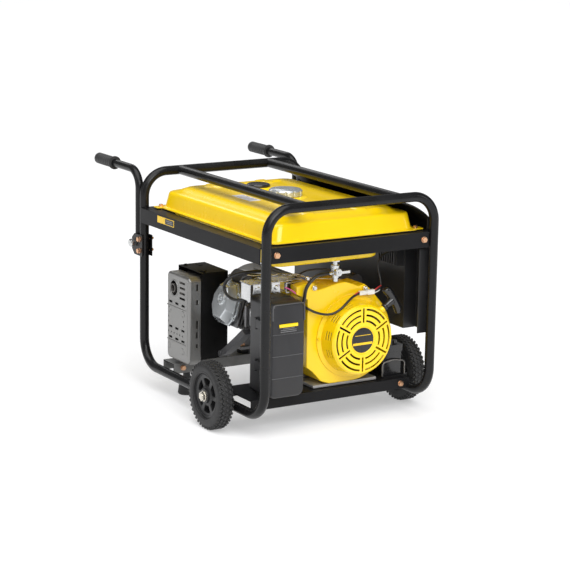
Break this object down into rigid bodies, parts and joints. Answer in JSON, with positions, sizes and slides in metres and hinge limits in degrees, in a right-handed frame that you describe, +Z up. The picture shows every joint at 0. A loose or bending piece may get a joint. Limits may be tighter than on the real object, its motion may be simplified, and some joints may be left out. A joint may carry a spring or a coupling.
{
  "type": "portable generator",
  "caption": "Portable petrol generator in an open tubular frame with wheels, folding handles, fuel tank, recoil start engine, alternator and a hooded control panel.",
  "frame": {"origin": "on the ground, under the middle of the whole object's box", "axes": "+Z up; +Y towards the folding handles, along the longest side; +X towards the control panel"},
  "size_m": [0.652, 0.9382, 0.6145],
  "materials": {
    "frame_black": "satin",
    "tank_yellow": "gloss",
    "panel_black": "satin",
    "zinc": "satin",
    "handle_black": "satin",
    "rubber_black": "matt",
    "tyre_black": "matt",
    "rim_black": "satin",
    "engine_grey": "matt",
    "cover_silver": "satin",
    "shroud_grey": "satin",
    "carburettor_grey": "satin",
    "filter_black": "matt",
    "guard_silver": "satin",
    "muffler_dark": "matt",
    "shield_black": "matt",
    "alternator_grey": "satin",
    "motor_black": "satin",
    "steel": "satin",
    "cast_grey": "matt",
    "cap_chrome": "gloss",
    "gauge_black": "gloss",
    "fittings_black": "satin",
    "lid_grey": "satin",
    "switch_black": "satin",
    "battery_black": "satin",
    "lead_black": "satin",
    "grip_black": "matt"
  },
  "bodies": {
    "frame": {"frame_hoop_near": "frame_black", "frame_hoop_far": "frame_black", "frame_straight_tubes": "frame_black", "tank_rails": "frame_black", "cross_members": "frame_black", "rubber_mounts": "rubber_black", "frame_brackets": "frame_black", "stub_axles": "zinc", "frame_bolts": "zinc", "handle_pivots": "zinc", "fuel_tank": "tank_yellow", "fuel_gauge": "gauge_black", "fuel_valve": "zinc", "fuel_hose": "lead_black", "crankcase": "engine_grey", "cylinder": "engine_grey", "valve_cover": "cover_silver", "cylinder_shroud": "shroud_grey", "blower_housing": "tank_yellow", "recoil_cover": "tank_yellow", "carburettor": "carburettor_grey", "governor_bracket": "zinc", "air_filter_base": "filter_black", "air_filter_cover": "filter_black", "muffler": "muffler_dark", "muffler_guard": "guard_silver", "heat_shield": "shield_black", "starter_motor": "motor_black", "alternator_housing": "alternator_grey", "alternator_end_cover": "alternator_grey", "panel_hood": "tank_yellow", "panel_box": "panel_black", "panel_plate": "panel_black", "panel_fittings": "fittings_black", "battery": "battery_black", "battery_strap": "steel", "wiring_leads": "lead_black"},
    "wheel_left": {"wheel_left_tyre": "tyre_black", "wheel_left_rim": "rim_black"},
    "wheel_right": {"wheel_right_tyre": "tyre_black", "wheel_right_rim": "rim_black"},
    "handle_left": {"handle_left": "handle_black", "grip_left": "grip_black"},
    "handle_right": {"handle_right": "handle_black", "grip_right": "grip_black"},
    "fuel_cap": {"fuel_cap": "cap_chrome"},
    "fuel_valve_lever": {"fuel_valve_lever": "zinc"},
    "choke_lever": {"choke_lever": "zinc"},
    "recoil_grip": {"recoil_grip": "grip_black"},
    "starter_pulley": {"starter_pulley": "grip_black"},
    "crank_train": {"crankshaft": "steel", "flywheel": "cast_grey"},
    "latch_left_upper": {"latch_left_upper": "steel"},
    "latch_left_lower": {"latch_left_lower": "steel"},
    "latch_right_upper": {"latch_right_upper": "steel"},
    "latch_right_lower": {"latch_right_lower": "steel"},
    "socket_lid_near": {"socket_lid_near": "lid_grey"},
    "socket_lid_far": {"socket_lid_far": "lid_grey"},
    "ignition_key": {"ignition_key": "steel"},
    "breaker_switch": {"breaker_switch": "switch_black"}
  },
  "joints": [
    {"name": "wheel_left_spin", "type": "hinge", "parent": "frame", "child": "wheel_left", "pos_m": [-0.295, -0.2659, 0.089], "axis": [1, 0, 0], "continuous": true},
    {"name": "wheel_right_spin", "type": "hinge", "parent": "frame", "child": "wheel_right", "pos_m": [0.295, -0.2659, 0.089], "axis": [1, 0, 0], "continuous": true},
    {"name": "handle_left_fold", "type": "hinge", "parent": "frame", "child": "handle_left", "pos_m": [-0.2505, 0.2181, 0.398], "axis": [-1, 0, 0], "range_deg": [0, 95]},
    {"name": "handle_right_fold", "type": "hinge", "parent": "frame", "child": "handle_right", "pos_m": [0.2505, 0.2181, 0.398], "axis": [-1, 0, 0], "range_deg": [0, 95]},
    {"name": "fuel_cap_turn", "type": "hinge", "parent": "frame", "child": "fuel_cap", "pos_m": [0, -0.1339, 0.57], "axis": [0, 0, 1], "range_deg": [0, 90]},
    {"name": "fuel_valve_turn", "type": "hinge", "parent": "frame", "child": "fuel_valve_lever", "pos_m": [0.005, -0.3924, 0.403], "axis": [0, 1, 0], "range_deg": [0, 90]},
    {"name": "choke_turn", "type": "hinge", "parent": "frame", "child": "choke_lever", "pos_m": [-0.1625, -0.2429, 0.282], "axis": [1, 0, 0], "range_deg": [-40, 40]},
    {"name": "recoil_pull", "type": "slide", "parent": "frame", "child": "recoil_grip", "axis": [0.829, 0, 0.5592], "range_m": [0, 0.05], "stiffness_N_per_m": 200, "springref_m": -0.01},
    {"name": "starter_pulley_turn", "type": "hinge", "parent": "frame", "child": "starter_pulley", "pos_m": [0.066, -0.3899, 0.225], "axis": [0, 1, 0], "range_deg": [0, 85]},
    {"name": "crank_turn", "type": "hinge", "parent": "frame", "child": "crank_train", "pos_m": [0.066, -0.1339, 0.225], "axis": [0, 1, 0], "continuous": true},
    {"name": "latch_left_upper_open", "type": "hinge", "parent": "frame", "child": "latch_left_upper", "pos_m": [-0.217, -0.3539, 0.288], "axis": [0, 0, -1], "range_deg": [0, 110]},
    {"name": "latch_left_lower_open", "type": "hinge", "parent": "frame", "child": "latch_left_lower", "pos_m": [-0.217, -0.3539, 0.18], "axis": [0, 0, -1], "range_deg": [0, 110]},
    {"name": "latch_right_upper_open", "type": "hinge", "parent": "frame", "child": "latch_right_upper", "pos_m": [-0.107, -0.3539, 0.288], "axis": [0, 0, 1], "range_deg": [0, 60]},
    {"name": "latch_right_lower_open", "type": "hinge", "parent": "frame", "child": "latch_right_lower", "pos_m": [-0.107, -0.3539, 0.18], "axis": [0, 0, 1], "range_deg": [0, 60]},
    {"name": "socket_lid_near_open", "type": "hinge", "parent": "frame", "child": "socket_lid_near", "pos_m": [0.2755, -0.2039, 0.333], "axis": [0, -1, 0], "range_deg": [0, 100]},
    {"name": "socket_lid_far_open", "type": "hinge", "parent": "frame", "child": "socket_lid_far", "pos_m": [0.2755, -0.1139, 0.333], "axis": [0, -1, 0], "range_deg": [0, 100]},
    {"name": "ignition_key_turn", "type": "hinge", "parent": "frame", "child": "ignition_key", "pos_m": [0.27, -0.2989, 0.385], "axis": [1, 0, 0], "range_deg": [0, 60]},
    {"name": "breaker_flip", "type": "hinge", "parent": "frame", "child": "breaker_switch", "pos_m": [0.2715, -0.0139, 0.37], "axis": [0, -1, 0], "range_deg": [0, 56]}
  ],
  "couplings": [
    {"joint": "starter_pulley_turn", "follows": "recoil_pull", "rad_per_m": 28.571}
  ]
}
